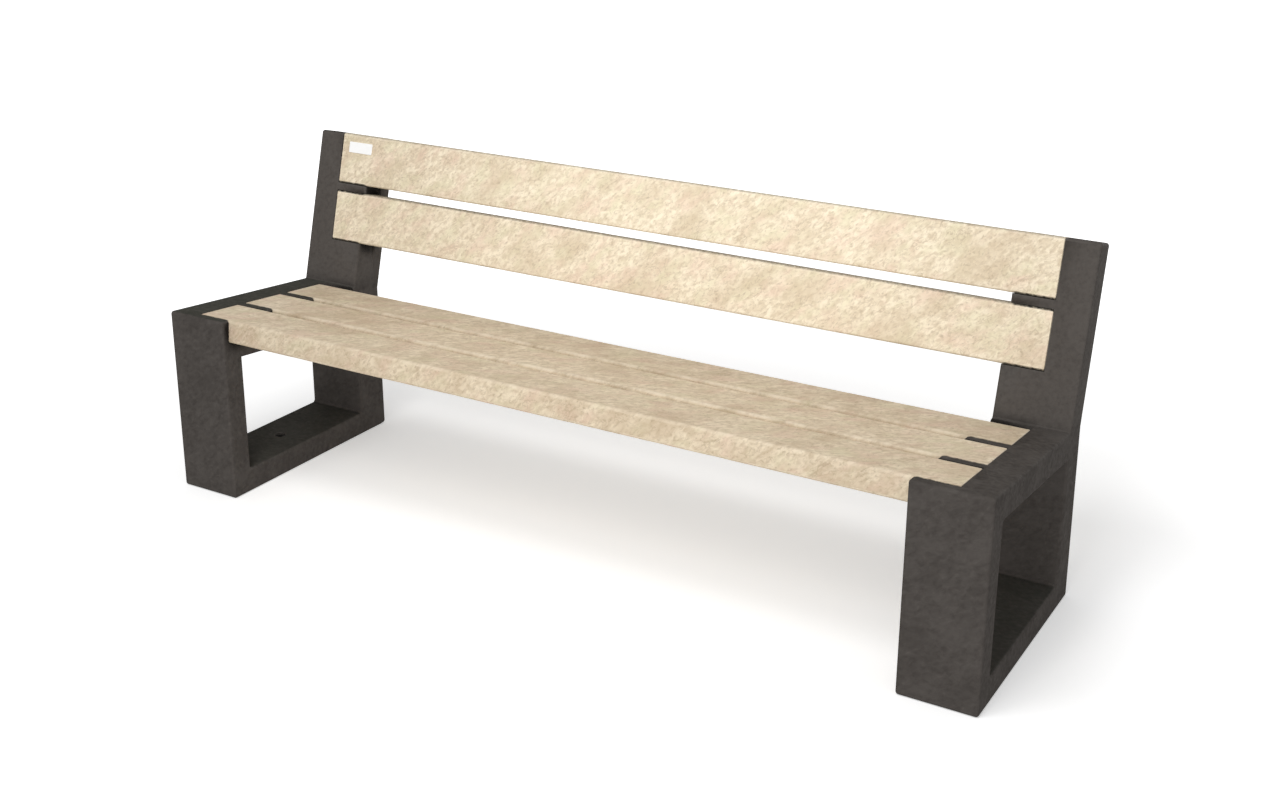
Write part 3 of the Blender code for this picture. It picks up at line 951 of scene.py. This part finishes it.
coreZinc = zincMaterial("zincCore", core)
coreNodes = [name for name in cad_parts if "_core_" in name]
for node in coreNodes:
    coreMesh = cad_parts[node].data
    coreMesh.materials.clear()
    coreMesh.materials.append(coreZinc)
print("zinc pieces dressed,", len(sleeveNodes) + len(coreNodes))


# blank plate: thin enamelled tag with round corners and a soft rim
tag = {
    "corner": 0.0022,
    "cornerSteps": 6,
    "cornerLeast": 0.0003,
    "rim": 0.0006,
    "rimSteps": 4,
    "lowerEdge": 0.0003,            # chamfer of the glued side
    "flatLoops": (0.0008, 0.004),   # loops inside the rim, which keep the face flat
    "sharp": 50,
    "rippleCell": 0.0025,
    "hazeCell": 0.015,
    "hazeMix": (0.4, 0.75, 0.0, 0.5),
    "roughMix": (0.3, 0.7, 0.3, 0.42),
    "white": (0.925, 0.925, 0.92),
    "shade": (0.88, 0.88, 0.87),
    "bump": (0.15, 0.0002),
}


def tagOutline(size, inset):
    corner = max(tag["corner"] - inset, tag["cornerLeast"])
    points = []
    for quarter, (right, up) in enumerate(((1, 1), (-1, 1), (-1, -1), (1, -1))):
        centre = Vector((right * (size.x / 2 - inset - corner), up * (size.y / 2 - inset - corner)))
        for i in range(tag["cornerSteps"] + 1):
            angle = math.pi / 2 * (quarter + i / tag["cornerSteps"])
            points.append(centre + corner * Vector((math.cos(angle), math.sin(angle))))
    return points


def tagMesh(size):
    bm = bmesh.new()
    top = size.z / 2
    levels = [(-top, tag["lowerEdge"]), (-top + tag["lowerEdge"], 0.0)]
    for i in range(tag["rimSteps"] + 1):
        angle = math.pi / 2 * i / tag["rimSteps"]
        levels.append((top - tag["rim"] * (1 - math.sin(angle)), tag["rim"] * (1 - math.cos(angle))))
    levels += [(top, tag["rim"] + inside) for inside in tag["flatLoops"]]
    rings = []
    for z, inset in levels:
        rings.append([bm.verts.new((*spot, z)) for spot in tagOutline(size, inset)])
    joinRings(bm, rings)
    bm.faces.new(rings[0])
    bm.faces.new(rings[-1])
    bmesh.ops.recalc_face_normals(bm, faces=bm.faces)
    return bm


def enamelMaterial():
    material, tree, shader = newMaterial("whiteEnamel")
    place = objectPlace(tree)
    ripple = cloud(tree, place, tag["rippleCell"])[0]
    haze = cloud(tree, place, tag["hazeCell"], detail=3.0)[0]
    color = mixColors(tree, remap(tree, haze, *tag["hazeMix"]), rgba(tag["white"]), rgba(tag["shade"]))
    feed(tree, shader, color, remap(tree, haze, *tag["roughMix"]), ripple, tag["bump"])
    return material


place, size = layOn("blank_plate", backSlope)
mesh = meshFrom(tagMesh(size), "blank_plate_enamel", tag["sharp"])
addPiece("blank_plate_enamel", mesh, place, enamelMaterial(), "blank_plate")
print("blank plate set")


# studio: pale floor, two large soft lamps above the front, weaker fill before and behind
studio = {
    "floorReach": 40.0,
    "floorCells": 8,
    "floorColor": (0.95, 0.95, 0.95),
    "nearGlow": 0.37,               # seen brightness added to the floor beside the bench
    "glowMiddle": (0.0, -0.2, 0.0),
    "glowFrom": 1.0,
    "glowTo": 3.0,                  # from here on the floor is plain white
    "skyColor": (1.0, 1.0, 1.0),
    "skyLight": 0.41,
    "aim": (0.0, 0.0, 0.4),
}

lamps = {                           # turn round from straight ahead and rise, in degrees
    "lower": {"turn": 14, "rise": 44, "away": 4.5, "size": 1.5, "level": 0.26, "shadow": True},
    "upper": {"turn": -6, "rise": 64, "away": 4.5, "size": 1.5, "level": 0.26, "shadow": True},
    "front": {"turn": 28, "rise": 8, "away": 9.0, "size": 3.0, "level": 0.265, "shadow": False},
    "rear": {"turn": 165, "rise": 5, "away": 9.0, "size": 3.0, "level": 0.30, "shadow": False},
}


def seenDirectly(tree):  # 1 where the eye, a mirror or a clear pane looks, 0 for light that bounces
    rays = addNode(tree, "ShaderNodeLightPath").outputs
    mirrored = calc(tree, "MAXIMUM", rays["Is Glossy Ray"], rays["Is Transmission Ray"])
    return calc(tree, "MAXIMUM", rays["Is Camera Ray"], mirrored)


def makeFloor():
    cells = studio["floorCells"]
    bm = bmesh.new()
    bmesh.ops.create_grid(bm, x_segments=cells, y_segments=cells, size=studio["floorReach"])
    floor = bpy.data.objects.new("floor", meshFrom(bm, "floor"))
    scene.collection.objects.link(floor)
    material = bpy.data.materials.new("paleFloor")
    material.use_nodes = True
    tree = material.node_tree
    tree.nodes.clear()
    ends = {0: objectPlace(tree), 1: studio["glowMiddle"]}
    away = addNode(tree, "ShaderNodeVectorMath", ends, operation="DISTANCE").outputs["Value"]
    glow = remap(tree, away, studio["glowFrom"], studio["glowTo"], studio["nearGlow"], 1.0)
    glow = calc(tree, "MULTIPLY", glow, seenDirectly(tree))
    paint = addNode(tree, "ShaderNodeBsdfDiffuse", {"Color": rgba(studio["floorColor"])}).outputs[0]
    shine = addNode(tree, "ShaderNodeEmission", {"Strength": glow}).outputs[0]
    both = addNode(tree, "ShaderNodeAddShader", {0: paint, 1: shine}).outputs[0]
    addNode(tree, "ShaderNodeOutputMaterial", {"Surface": both})
    floor.data.materials.append(material)
    return floor


def makeSky():
    world = bpy.data.worlds.new("studioSky")
    scene.world = world
    world.use_nodes = True
    tree = world.node_tree
    tree.nodes.clear()
    strength = remap(tree, seenDirectly(tree), 0.0, 1.0, studio["skyLight"], 1.0)
    inputs = {"Color": rgba(studio["skyColor"]), "Strength": strength}
    sky = addNode(tree, "ShaderNodeBackground", inputs)
    addNode(tree, "ShaderNodeOutputWorld", {"Surface": sky.outputs[0]})


# for the fill lamps, which light the bench only, so that the floor keeps one plain shadow
def floorLeftOut(floor):
    leftOut = bpy.data.collections.new("floorLeftOut")
    leftOut.objects.link(floor)
    leftOut.collection_objects[0].light_linking.link_state = "EXCLUDE"
    return leftOut


def addLamp(name, leftOut):
    look = lamps[name]
    turn = math.radians(look["turn"])
    rise = math.radians(look["rise"])
    lamp = bpy.data.lights.new(name + "Lamp", "AREA")
    lamp.shape = "DISK"
    lamp.size = look["size"]
    lamp.energy = look["level"] * (math.pi * look["away"]) ** 2  # a white face shows this level
    holder = bpy.data.objects.new(name + "Lamp", lamp)
    flat = math.cos(rise)
    direction = Vector((math.sin(turn) * flat, -math.cos(turn) * flat, math.sin(rise)))
    holder.location = Vector(studio["aim"]) + direction * look["away"]
    holder.rotation_euler = direction.to_track_quat("Z", "Y").to_euler()
    lamp.use_shadow = look["shadow"]
    if not look["shadow"]:
        holder.light_linking.receiver_collection = leftOut
    scene.collection.objects.link(holder)


# the camera, ahead of the bench and a little to one side
viewpoint = {
    "place": (1.7745, -2.8953, 1.6593),
    "turn": 30.44,                  # degrees round from straight ahead of the bench
    "down": 18.667,
    "roll": 0.32,
    "sensor": 36.0,
    "lens": 45.859,
    "shift": (0.003216, -0.06531),
}


def makeCamera():
    camera = bpy.data.cameras.new("viewpoint")
    camera.sensor_width = viewpoint["sensor"]
    camera.sensor_fit = "HORIZONTAL"
    camera.lens = viewpoint["lens"]
    camera.shift_x, camera.shift_y = viewpoint["shift"]
    holder = bpy.data.objects.new("viewpoint", camera)
    turn = Matrix.Rotation(math.radians(viewpoint["turn"]), 4, "Z")
    tip = Matrix.Rotation(math.radians(90 - viewpoint["down"]), 4, "X")
    roll = Matrix.Rotation(math.radians(viewpoint["roll"]), 4, "Z")
    holder.matrix_world = Matrix.Translation(viewpoint["place"]) @ turn @ tip @ roll
    scene.collection.objects.link(holder)
    scene.camera = holder


leftOut = floorLeftOut(makeFloor())
makeSky()
for name in lamps:
    addLamp(name, leftOut)
makeCamera()
print("studio lit")
